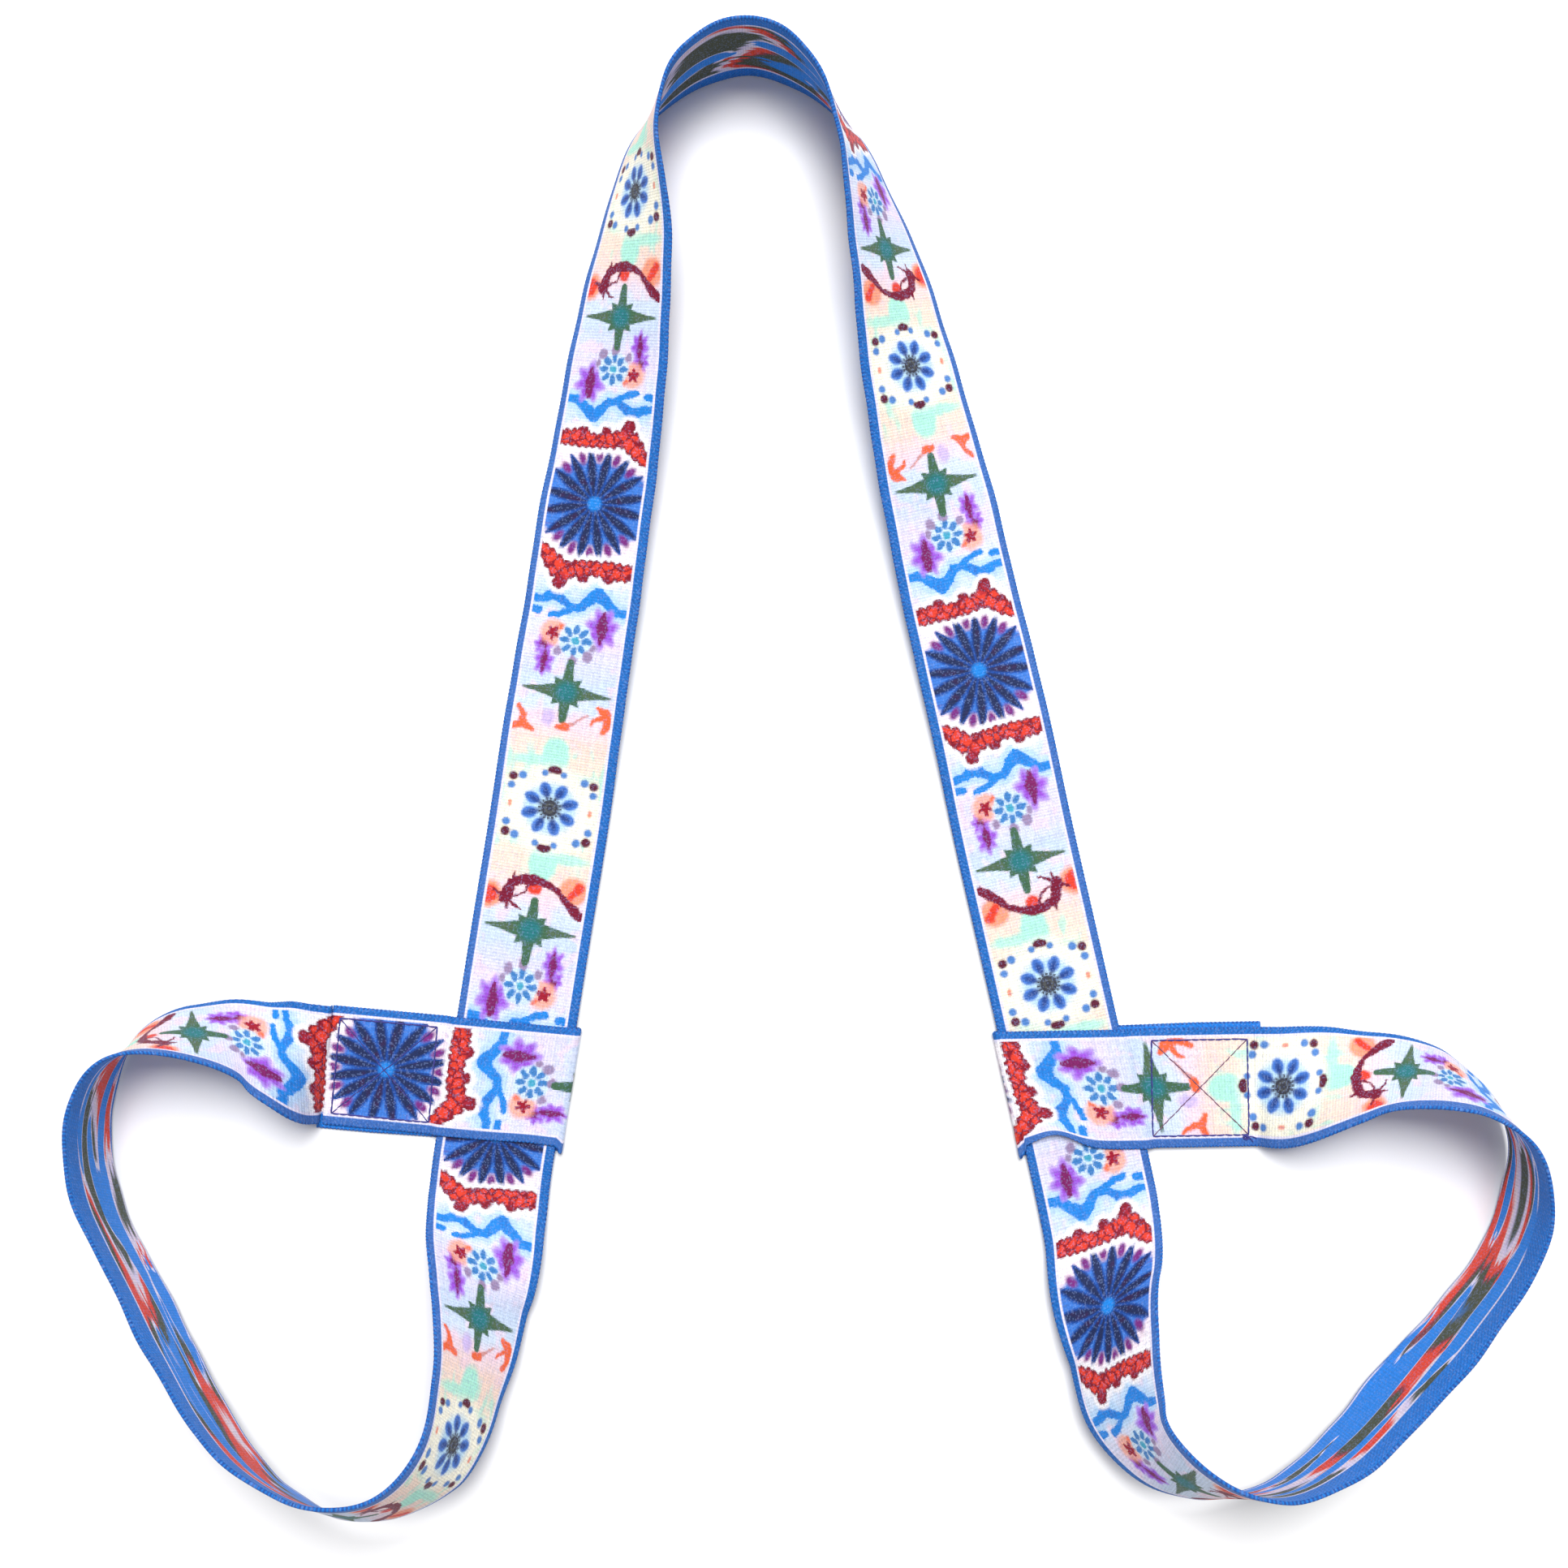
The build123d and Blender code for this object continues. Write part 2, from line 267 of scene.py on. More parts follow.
def ribbon_mesh(name, rings, materials):
    """Closed ribbon with rounded selvedges through the rings, with the weave laid out as UVs.

    The materials are those of the face, the reverse and the selvedges.
    """
    half = THICK / 2
    flat = WIDTH / 2 - half
    across = np.linspace(-flat, flat, FACE_POINTS)
    turn = np.radians(np.linspace(90, -90, EDGE_POINTS + 2)[1:-1])
    v = np.concatenate([across, flat + half * np.cos(turn), across[::-1]])
    v = np.concatenate([v, -flat - half * np.cos(turn)])
    h = np.concatenate([np.full(FACE_POINTS, half), half * np.sin(turn)])
    h = np.concatenate([h, -h])
    count = len(rings["s"])
    around = len(v)
    bite = SCALLOP * np.sin(2 * math.pi * rings["s"] / SCALLOP_PITCH)[:, None]
    at_edge = np.sign(v) * (np.abs(v) > flat * 0.999)
    amounts = {
        "weft": v + at_edge * bite,
        "normal": h[None, :],
        "edge_a": limited(-v / (WIDTH / 2))[None, :] ** 2,
        "edge_b": limited(v / (WIDTH / 2))[None, :] ** 2,
    }
    place = rings["middle"][:, None, :]
    for way, amount in amounts.items():
        place = place + rings[way][:, None, :] * amount[..., None]
    place[..., 2] = np.maximum(place[..., 2], 0.0)
    points = (place.reshape(-1, 3) - ORIGIN) * MM
    i = np.arange(count - 1)[:, None]
    j = np.arange(around)[None, :]
    k = (j + 1) % around
    quads = np.stack(
        [i * around + j, i * around + k, (i + 1) * around + k, (i + 1) * around + j], axis=-1
    ).reshape(-1, 4)
    faces = quads.tolist()
    faces.append(list(range(around))[::-1])
    faces.append(list(range((count - 1) * around, count * around)))
    mesh = bpy.data.meshes.new(name)
    mesh.from_pydata(points.tolist(), [], faces)
    label = np.interp(rings["s"], *np.array(PATTERN, float).T)
    shift = np.interp(rings["s"], *np.array(PATTERN_SHIFT, float).T)
    u = np.repeat(label[:, None], around, axis=1).ravel() / UV_UNIT
    w = (v[None, :] - shift[:, None]).ravel() / UV_UNIT
    layer = mesh.uv_layers.new(name="UVMap")
    corner = np.zeros(len(mesh.loops), np.int32)
    mesh.loops.foreach_get("vertex_index", corner)
    layer.data.foreach_set("uv", np.stack([u[corner], w[corner]], axis=1).ravel())
    face_end = FACE_POINTS - 1
    back_end = 2 * FACE_POINTS + EDGE_POINTS - 1
    side = np.full(around, SELVEDGE_SLOT, np.int32)
    side[:face_end] = FACE_SLOT
    side[face_end + EDGE_POINTS + 1 : back_end] = REVERSE_SLOT
    index = np.full(len(faces), SELVEDGE_SLOT, np.int32)
    index[: len(quads)] = np.tile(side, count - 1)
    mesh.polygons.foreach_set("material_index", index)
    smooth_flags = np.ones(len(faces), bool)
    smooth_flags[-2:] = False
    mesh.polygons.foreach_set("use_smooth", smooth_flags)
    return finished_piece(mesh, materials)


def strap_rings(strap, first, last):
    """The part of the long ribbon between two stations."""
    t = strap["chord"]
    keep = (t >= strap["stations"][first] - STEP / 2) & (t <= strap["stations"][last] + STEP / 2)
    s = strap["s"][keep]
    free = strap["free"][keep][:, None]
    normal = strap["normal"][keep]
    flutter_a = waves(s, seed=3, lengths=(23, 41, 67), sizes=(0.16, 0.22, 0.3))[:, None]
    flutter_b = waves(s, seed=5, lengths=(19, 37, 71), sizes=(0.14, 0.2, 0.3))[:, None]
    return {
        "middle": strap["middle"][keep],
        "weft": strap["weft"][keep],
        "normal": normal,
        "s": s,
        "edge_a": normal * flutter_a * free,
        "edge_b": normal * flutter_b * free,
    }


def heading(angle):
    """A level direction, in degrees anticlockwise from +X."""
    return np.array([math.cos(math.radians(angle)), math.sin(math.radians(angle)), 0.0])


UP = np.array([0.0, 0.0, 1.0])


class EndLoop:
    """A folded and sewn ribbon end wrapped round its leg, laid out as in the CAD part.

    Places are d millimetres from the seam towards the leg, and n millimetres across the ribbon.
    """

    def __init__(self, seam, angle, side, leg_angle, leg_point, seam_length, drift, join, label):
        self.seam = np.array((*seam, 0.0))
        self.along = heading(angle)
        self.across = np.array([-self.along[1], self.along[0], 0.0]) * side
        self.fold = heading(90 + leg_angle)
        self.away = np.array([self.fold[1], -self.fold[0], 0.0]) * side
        self.side = side
        self.seam_length = seam_length
        self.drift = drift
        self.label = label
        self.start = (np.array((*join, 0.0)) - self.seam) @ self.along
        reach = (np.array((*leg_point, 0.0)) - self.seam) @ self.away / (self.along @ self.away)
        half = WIDTH / 2 / (self.along @ self.away)
        self.outer_edge = reach - half - 2 * SLIDE_GAP
        self.inner_edge = reach + half - SLIDE_GAP

    def rings(self, dip, poke):
        """Top ply, fold and under ply, with the buckled edge near the fold."""
        under = THICK / 2
        seam_z = THICK * 1.5 + SLIDE_GAP / 2
        over = THICK * 2.5 + 2 * SLIDE_GAP
        rise = self.outer_edge - RISE_LENGTH
        radius = (over - under) / 2
        d_top = np.arange(self.start, self.inner_edge, STEP)
        phi = np.linspace(0, math.pi, max(8, int(math.pi * radius / STEP)))
        d_low = np.arange(self.inner_edge, -TAIL_LENGTH, -STEP)[1:]
        flat_n = len(d_top)
        d = np.concatenate([d_top, np.full(len(phi), self.inner_edge), d_low])
        angle = np.concatenate([np.zeros(flat_n), phi, np.full(len(d_low), math.pi)])
        climb = smooth((d_top - rise + CLIMB_LEAD) / CLIMB_LENGTH)
        z_top = seam_z + (over - seam_z) * climb
        z = np.concatenate([z_top, under + radius * (1 + np.cos(phi)), np.full(len(d_low), under)])
        turn = limited(d / rise)
        weft = unit(self.across * (1 - turn)[:, None] + self.fold * turn[:, None])
        stretch = 1 / (weft @ self.across)
        drift = np.where(angle > 3, self.drift * limited((self.inner_edge - d) / DRIFT_LENGTH), 0)
        middle = self.seam + self.along * d[:, None] + self.across * drift[:, None]
        middle = middle + self.away * (np.sin(angle) * radius)[:, None] + UP * z[:, None]
        normal = self.away * np.sin(angle)[:, None] + UP * np.cos(angle)[:, None]
        order = chord_lengths(middle)
        sign = -1 if self.side > 0 else 1
        s = self.label + sign * order
        past = np.maximum(order - order[flat_n - 1], 0)
        away_from_fold = np.maximum(order[flat_n - 1] - order, 0)
        bump = np.exp(-((away_from_fold / BUCKLE_LENGTH - 1) ** 2)) * (past == 0)
        low = self.across * (dip * bump)[:, None] + UP * (BUCKLE_LIFT * dip * bump)[:, None]
        tail = -poke * np.exp(-past / BUCKLE_LENGTH) * smooth(past / POKE_RISE)
        low = low + self.across * tail[:, None]
        result = {
            "middle": middle,
            "weft": weft * stretch[:, None],
            "normal": normal,
            "s": s,
            "edge_a": low,
            "edge_b": np.zeros_like(low),
        }
        if sign < 0:
            return {key: value[::-1] for key, value in result.items()}
        return result

    def point(self, d, n, z):
        return self.seam + self.along * d + self.across * n + UP * z

    def seam_runs(self):
        length = self.seam_length
        half = SEAM_HALF_WIDTH
        corners = [(0, -half), (length, -half), (length, half), (0, half)]
        runs = [(corners[i], corners[(i + 1) % 4]) for i in range(4)]
        return runs + [(corners[0], corners[2]), (corners[1], corners[3])]


def tube(points, radii):
    """Vertices and faces of a closed tube through the points."""
    sides = TUBE_SIDES
    points = np.array(points, float)
    along = unit(np.gradient(points, axis=0))
    helper = UP if abs(along[0] @ UP) < 0.9 else np.array([1.0, 0.0, 0.0])
    right = unit(np.cross(along, helper))
    over = np.cross(right, along)
    a = np.linspace(0, 2 * math.pi, sides, endpoint=False)
    ring = right[:, None, :] * np.cos(a)[None, :, None] + over[:, None, :] * np.sin(a)[None, :, None]
    verts = points[:, None, :] + ring * np.array(radii)[:, None, None]
    faces = []
    for i in range(len(points) - 1):
        for j in range(sides):
            k = (j + 1) % sides
            faces.append((i * sides + j, i * sides + k, (i + 1) * sides + k, (i + 1) * sides + j))
    faces.append(tuple(range(sides))[::-1])
    last = (len(points) - 1) * sides
    faces.append(tuple(range(last, last + sides)))
    return verts.reshape(-1, 3), faces


def tubes_mesh(name, parts, materials):
    """One piece made of many tubes: each part is its points, radii and material number."""
    verts, faces, numbers, offset = [], [], [], 0
    for points, rims, number in parts:
        v, f = tube(points, rims)
        verts.append(v)
        faces += [tuple(index + offset for index in face) for face in f]
        numbers += [number] * len(f)
        offset += len(v)
    points = (np.concatenate(verts) - ORIGIN) * MM
    mesh = bpy.data.meshes.new(name)
    mesh.from_pydata(points.tolist(), [], faces)
    mesh.polygons.foreach_set("use_smooth", np.ones(len(faces), bool))
    mesh.polygons.foreach_set("material_index", np.array(numbers, np.int32))
    return finished_piece(mesh, materials)


def stitch(start, end, z_dip, radius, rng):
    """One stitch: a short arched tube whose ends dive into the cloth."""
    start = np.array(start) + rng.normal(0, STITCH_WANDER, 3) * [1, 1, 0]
    end = np.array(end) + rng.normal(0, STITCH_WANDER, 3) * [1, 1, 0]
    t = np.linspace(0, 1, 7)
    arch = np.sin(math.pi * t)
    points = start + (end - start) * t[:, None]
    points[:, 2] += z_dip * (arch - 0.55)
    return points, radius * (0.8 + 0.2 * arch)


def seam_stitches(loop, z, z_dip, seed):
    """The sewn square, then the cross inside it in a finer pass."""
    rng = np.random.default_rng(seed)
    parts = []
    for run, ((d0, n0), (d1, n1)) in enumerate(loop.seam_runs()):
        cross = run >= 4
        radius = CROSS_THREAD if cross else SQUARE_THREAD
        count = max(2, round(math.hypot(d1 - d0, n1 - n0) / STITCH_PITCH))
        for i in range(count):
            a = (i + 0.02) / count
            b = (i + 0.98) / count
            first = loop.point(d0 + (d1 - d0) * a, n0 + (n1 - n0) * a, z)
            second = loop.point(d0 + (d1 - d0) * b, n0 + (n1 - n0) * b, z)
            parts.append((*stitch(first, second, z_dip, radius, rng), int(cross)))
    return parts


def loose_end(loop, d, n, z, seed):
    """Knotted start of the sewing: a small tangle and two cut ends."""
    rng = np.random.default_rng(seed)
    parts = []
    for _ in range(5):
        t = np.linspace(0, 1.6 * math.pi, 12)
        size = rng.uniform(0.5, 0.95)
        lean = rng.uniform(0, 2 * math.pi)
        points = [
            loop.point(
                d + size * math.cos(a + lean),
                n + 0.7 * size * math.sin(a + lean),
                z + 0.25 + 0.3 * math.sin(a * 1.3),
            )
            for a in t
        ]
        parts.append((points, np.full(len(t), KNOT_THREAD), 0))
    for reach in (3.4, 2.2):
        lean = rng.uniform(-0.7, 0.7)
        points = [
            loop.point(d - reach * k, n - reach * k * lean + 0.5 * math.sin(3 * k), z + 0.25)
            for k in np.linspace(0, 1, 10)
        ]
        parts.append((points, np.linspace(KNOT_THREAD, 0.7 * KNOT_THREAD, 10), 0))
    return parts


class Nodes:
    """A short way to write shader arithmetic. Most methods return an output socket."""

    def __init__(self, name):
        self.material = bpy.data.materials.new(name)
        self.material.use_nodes = True
        self.tree = self.material.node_tree
        self.tree.nodes.clear()

    def add(self, kind, *values, **settings):
        """A new node with its settings, and the values put into its inputs in order."""
        node = self.tree.nodes.new(kind)
        for key, value in settings.items():
            setattr(node, key, value)
        for value, socket in zip(values, node.inputs):
            self.put(value, socket)
        return node

    def put(self, value, socket):
        if isinstance(value, bpy.types.NodeSocket):
            self.tree.links.new(value, socket)
        else:
            socket.default_value = value

    def math(self, operation, *values, clamp=False):
        node = self.add("ShaderNodeMath", *values, operation=operation)
        if clamp:
            node = self.add("ShaderNodeClamp", node.outputs[0])
        return node.outputs[0]

    def plus(self, a, b):
        return self.math("ADD", a, b)

    def minus(self, a, b):
        return self.math("SUBTRACT", a, b)

    def times(self, a, b):
        return self.math("MULTIPLY", a, b)

    def over(self, a, b):
        return self.math("DIVIDE", a, b)

    def least(self, a, b):
        return self.math("MINIMUM", a, b)

    def size(self, a):
        return self.math("ABSOLUTE", a)

    def sine(self, a, pitch):
        return self.math("SINE", self.times(a, 2 * math.pi / pitch))

    def scaled(self, value, gain, offset, clamp=False):
        """The value times the gain, plus the offset."""
        return self.math("MULTIPLY_ADD", value, gain, offset, clamp=clamp)

    def length(self, a, b):
        return self.math("SQRT", self.plus(self.times(a, a), self.times(b, b)))

    def inside(self, distance, soft=0.35):
        """1 where the distance is below zero, falling to 0 over a soft edge."""
        return self.scaled(distance, -1.0 / soft, 0.5, clamp=True)

    def disc(self, a, b, a0, b0, radius, radius_b=None, soft=0.35):
        """1 inside an oval about (a0, b0), falling to 0 over a soft edge."""
        da = self.over(self.minus(a, a0), radius)
        db = self.over(self.minus(b, b0), radius_b or radius)
        away = self.minus(self.length(da, db), 1.0)
        return self.inside(self.times(away, min(radius, radius_b or radius)), soft)

    def graph(self, value, points, low, high, x_low, x_high):
        """A curve through given points: points are (x, y) pairs."""
        x = self.math("DIVIDE", self.minus(value, x_low), x_high - x_low, clamp=True)
        node = self.add("ShaderNodeFloatCurve")
        curve = node.mapping.curves[0]
        places = [((px - x_low) / (x_high - x_low), (py - low) / (high - low)) for px, py in points]
        for place, point in zip(places, curve.points):
            point.location = place
        curve.points[1].location = places[-1]
        for place in places[1:-1]:
            curve.points.new(*place)
        node.mapping.update()
        self.put(x, node.inputs["Value"])
        return self.scaled(node.outputs[0], high - low, low)

    def dot(self, a, b, a0, b0, radius):
        """Distance to a round spot's edge, negative inside."""
        return self.minus(self.length(self.minus(a, a0), self.minus(b, b0)), radius)

    def vector_math(self, operation, *values):
        return self.add("ShaderNodeVectorMath", *values, operation=operation).outputs

    def stroke(self, a, b, points):
        """Distance to the edge of a brush stroke through (a, b, radius) points."""
        here = self.vector(a, b)
        nearest = None
        for (a0, b0, r0), (a1, b1, r1) in zip(points, points[1:]):
            run = (a1 - a0, b1 - b0, 0.0)
            from_start = self.vector_math("SUBTRACT", here, (a0, b0, 0.0))[0]
            along = self.vector_math("DOT_PRODUCT", from_start, run)[1]
            share = self.math("DIVIDE", along, run[0] ** 2 + run[1] ** 2, clamp=True)
            foot = self.add("ShaderNodeVectorMath", operation="SCALE")
            foot.inputs[0].default_value = run
            self.put(share, foot.inputs[3])
            off = self.vector_math("DISTANCE", from_start, foot.outputs[0])[1]
            away = self.minus(off, self.scaled(share, r1 - r0, r0))
            nearest = away if nearest is None else self.least(nearest, away)
        return nearest

    def mix(self, amount, base, colour):
        node = self.add("ShaderNodeMix", data_type="RGBA")
        self.put(amount, node.inputs[0])
        self.put(base, node.inputs[6])
        self.put(colour, node.inputs[7])
        return node.outputs[2]

    def shade(self, colour, factor):
        """The colour made lighter or darker by the factor."""
        node = self.add("ShaderNodeVectorMath", operation="SCALE")
        self.put(colour, node.inputs[0])
        self.put(factor, node.inputs[3])
        return node.outputs[0]

    def vector(self, x, y, z=0.0):
        return self.add("ShaderNodeCombineXYZ", x, y, z).outputs[0]

    def split(self, vector):
        """The vector's three coordinates."""
        return self.add("ShaderNodeSeparateXYZ", vector).outputs

    def noise_node(self, vector, scale, detail, roughness=0.5):
        node = self.add("ShaderNodeTexNoise", vector)
        node.inputs["Scale"].default_value = scale
        node.inputs["Detail"].default_value = detail
        node.inputs["Roughness"].default_value = roughness
        return node

    def noise(self, *settings):
        """Smooth noise, about 0.5 on average."""
        return self.noise_node(*settings).outputs[0]

    def random(self, vector):
        """A different number from 0 to 1 for every different vector."""
        return self.add("ShaderNodeTexWhiteNoise", vector, noise_dimensions="3D").outputs[0]

    def ramp(self, value, stops):
        """A colour for each value: stops are (place, colour) pairs in rising order."""
        node = self.add("ShaderNodeValToRGB", value)
        elements = node.color_ramp.elements
        while len(elements) < len(stops):
            elements.new(0.5)
        for element, (place, colour) in zip(elements, stops):
            element.position = place
            element.color = colour
        return node.outputs[0]

    def finish(self, colour, roughness, height, bump_mm, strength, sheen=0.0):
        """The cloth, thread or paper shader, with its relief in millimetres."""
        shader = self.add("ShaderNodeBsdfPrincipled", colour)
        shader.inputs["Roughness"].default_value = roughness
        shader.inputs["Specular IOR Level"].default_value = SPECULAR
        shader.inputs["Sheen Weight"].default_value = sheen
        bump = self.add("ShaderNodeBump")
        bump.inputs["Strength"].default_value = strength
        bump.inputs["Distance"].default_value = bump_mm * MM
        self.put(height, bump.inputs["Height"])
        self.tree.links.new(bump.outputs[0], shader.inputs["Normal"])
        self.add("ShaderNodeOutputMaterial", shader.outputs[0])
        return self.material


def colour(code):
    """A display colour written as six hex digits, turned into the renderer's linear values."""
    parts = [int(code[i : i + 2], 16) / 255 for i in (0, 2, 4)]
    linear = [c / 12.92 if c <= 0.04045 else ((c + 0.055) / 1.055) ** 2.4 for c in parts]
    return (*linear, 1.0)


# The woven pattern repeats every REPEAT mm about a starburst, with a daisy half way between.
HALF_REPEAT = REPEAT / 2
PATTERN_EDGE = 15.6
LINE_EDGE = 16.4
FLOAT_EDGE = 13.2
REVERSE_EDGE = 14.0
WEAVE_CELL = 0.42
RIB_PITCH = 0.95
WARP_PITCH = 0.8
TWILL_PITCH = 1.6
TWIST_PITCH = 0.32
CLOTH_LIGHT = 0.68

BORDER = colour("2276cc")
BORDER_DARK = colour("1856a4")
REVERSE_BLUE = colour("1c88ea")
REVERSE_DARK = colour("1668c4")
EDGE_LINE = colour("ece6fa")
WHITE = colour("fbf8fd")
NAVY = colour("1e2c58")
PLUM = colour("38204c")
PETAL_EDGE = colour("1c4a9e")
CORNFLOWER = colour("3f7cd8")
AZURE = colour("1f86e2")
MAGENTA = colour("7c1c62")
DARK_RED = colour("85142a")
ORANGE_RED = colour("e6402c")
CORAL = colour("f2693f")
VIOLET = colour("9c52d8")
TEAL = colour("1d7a84")
GREEN = colour("43694e")
INK = colour("20387e")
CHARCOAL = colour("3a3c46")
MINT = colour("b2f0dc")
MAUVE = colour("9c87ac")
PINK_WHITE = colour("fbe9f4")
OLIVE = colour("4b523e")
FLAME = colour("ee4428")


class Canvas:
    """A woven picture built up by painting one masked colour over another."""

    def __init__(self, n, ground):
        self.n = n
        self.colour = ground

    def paint(self, mask, colour_over, strength=1.0):
        if strength < 1.0:
            mask = self.n.times(mask, strength)
        self.colour = self.n.mix(mask, self.colour, colour_over)

    def fill(self, distance, soft, colour_over, strength=1.0, where=None):
        """Paints wherever the distance is below zero, with a soft edge, in all or part of the cloth."""
        mask = self.n.inside(distance, soft)
        if where is not None:
            mask = self.n.times(where, mask)
        self.paint(mask, colour_over, strength)


def ribbon_coordinates(n):
    """Millimetres along the pattern and across it."""
    uv = n.add("ShaderNodeUVMap", uv_map="UVMap")
    along, across, _ = n.split(uv.outputs[0])
    return n.times(along, UV_UNIT), n.times(across, UV_UNIT)


def snapped(n, value):
    """The middle of the weave cell that the value falls in."""
    return n.plus(n.math("SNAP", value, WEAVE_CELL), WEAVE_CELL / 2)


def nudge(n, s, b, scale, size):
    """Two smooth random offsets, so woven outlines come out ragged."""
    noise = n.noise_node(n.vector(s, b), scale, 3.0, 0.75)
    offsets = n.split(noise.outputs["Color"])
    return [n.scaled(offsets[i], 2 * size, -size) for i in range(2)]


def paint_ground(n, canvas, a, b, s, b_cell):
    """Soft washes of colour behind the motifs."""
    blot = n.noise(n.vector(s, b_cell), 0.16, 2.0, 0.5)
    place = n.over(n.plus(a, n.scaled(blot, 12.0, -6.0)), HALF_REPEAT)
    stops = [
        (0.0, PINK_WHITE),
        (0.21, WHITE),
        (0.27, colour("cfe2fb")),
        (0.36, colour("dbe5fb")),
        (0.45, colour("e6dcf6")),
        (0.56, colour("cbdcf6")),
        (0.65, colour("d6e4f8")),
        (0.7, colour("f4dce8")),
        (0.77, colour("fcdccf")),
        (0.86, colour("fae4d2")),
        (0.92, colour("fdf8e2")),
    ]
    canvas.colour = n.ramp(place, stops)
    wide = n.noise(n.vector(n.times(s, 0.4), b_cell, 4.0), 0.3, 2.0)
    near_daisy = n.inside(n.minus(80.0, a), 6.0)
    streak = n.scaled(wide, 9.0, -4.9, clamp=True)
    canvas.paint(n.times(streak, near_daisy), MINT, 0.75)
    patch = n.scaled(blot, 9.0, -4.8, clamp=True)
    canvas.paint(n.times(patch, n.minus(1.0, near_daisy)), colour("f6d6ea"), 0.6)
    canvas.paint(n.disc(a, b, 83.0, 0.5, 6.4, 4.6, 1.4), MINT)
    canvas.paint(n.disc(a, b, 85.5, 6.5, 2.0, 9.0, 1.2), MINT, 0.9)
    canvas.paint(n.disc(a, b, 90.0, -6.0, 1.6, 6.5, 1.2), MINT, 0.7)


def paint_starburst(n, canvas, a, b):
    """Sixteen pointed petals round an azure centre, with drops between their tips."""
    r = n.length(a, b)
    angle = n.math("ARCTAN2", b, a)
    sector = math.pi / 16
    turned = n.minus(angle, 0.157)
    petal = n.size(n.times(r, n.math("WRAP", turned, sector, -sector)))
    between = n.times(r, n.math("WRAP", n.plus(turned, sector), sector, -sector))
    canvas.fill(n.minus(r, 19.0), 1.5, PINK_WHITE)
    canvas.paint(n.disc(a, b, 0.0, 0.0, 13.4, 22.0, 1.4), CORNFLOWER)
    drop = n.disc(r, between, 15.7, 0.0, 2.3, 1.3, 0.9)
    canvas.fill(n.minus(8.0, n.size(a)), 1.0, colour("7a2c80"), where=drop)
    profile = [(2.5, 0.3), (5, 0.8), (8, 1.25), (11, 1.42), (13.5, 1.28), (16, 0.8), (18.6, 0)]
    width = n.graph(r, profile, 0.0, 2.0, 2.5, 18.6)
    tip = n.inside(n.minus(r, 18.8))
    canvas.fill(n.minus(petal, n.plus(width, 0.42)), 0.5, PETAL_EDGE, where=tip)
    canvas.fill(n.minus(petal, n.minus(width, 0.22)), 0.6, NAVY, where=tip)
    stain = n.noise(n.vector(a, b, 6.0), 0.28, 1.0)
    stain = n.scaled(stain, 8.0, -4.2, clamp=True)
    canvas.fill(n.minus(petal, n.minus(width, 0.3)), 0.6, PLUM, 0.7, where=stain)
    canvas.fill(n.minus(r, 2.3), 1.1, AZURE)


def paint_red_band(n, canvas, a, b):
    """Scalloped red garland beside the starburst."""
    spine = [
        (20.6, -17, 2.2), (20.8, -9, 2.6), (20.4, -3, 2.0), (21.2, 3, 2.4), (22.2, 6.5, 2.7),
        (21.5, 9.5, 2.9), (18.2, 12.6, 2.4), (16.2, 15.5, 1.9),
    ]
    away = n.stroke(a, b, spine)
    away = n.minus(away, n.times(n.size(n.sine(b, 5.0)), 0.7))
    knobs = n.least(n.stroke(a, b, [(24.0, 7.0, 2.0), (26.2, 8.2, 2.2)]), n.dot(a, b, 23.4, 0.4, 2.0))
    knobs = n.least(knobs, n.dot(a, b, 22.8, -8.0, 2.2))
    whole = n.least(away, knobs)
    canvas.fill(n.minus(whole, 1.5), 1.2, WHITE)
    canvas.fill(whole, 0.5, DARK_RED)
    bead = n.add("ShaderNodeTexVoronoi", feature="DISTANCE_TO_EDGE")
    n.put(n.vector(a, b, 3.0), bead.inputs["Vector"])
    bead.inputs["Scale"].default_value = 0.3
    lit = n.scaled(bead.outputs["Distance"], 14.0, -0.5, clamp=True)
    canvas.paint(n.times(n.inside(n.plus(away, 0.8), 0.7), lit), ORANGE_RED)
    canvas.paint(n.times(n.inside(n.plus(knobs, 1.0), 0.8), lit), colour("b3263a"), 0.7)


def paint_squiggle(n, canvas, a, b):
    """Azure zigzag with a second branch and a dash."""
    spine = [
        (33.6, -17, 1.3), (33.5, -12, 1.5), (30.6, -8.5, 1.8), (28.6, -5.5, 2.3), (30.4, -3, 1.8),
        (33.4, -0.5, 1.4), (33.8, 2.5, 1.3), (32.4, 5, 1.4), (30.4, 8, 1.9), (30.6, 10, 1.8),
        (32.0, 12.5, 1.3), (32.4, 17, 1.2),
    ]
    away = n.stroke(a, b, spine)
    canvas.fill(n.minus(away, 1.8), 1.4, colour("b4d8fa"), 0.8)
    branch = n.stroke(a, b, [(34.0, 1.5, 0.9), (36.4, 6.5, 1.1), (36.9, 9.4, 1.0)])
    dash = n.stroke(a, b, [(35.9, 13.2, 1.2), (35.7, 17, 1.2)])
    canvas.fill(n.least(away, n.least(branch, dash)), 0.4, AZURE)
    ripple = n.noise(n.vector(n.times(a, 0.4), b, 1.0), 0.5, 2.0)
    shade = n.scaled(ripple, 8.0, -4.2, clamp=True)
    canvas.fill(n.plus(away, 0.5), 0.6, colour("2f72cc"), 0.8, where=shade)


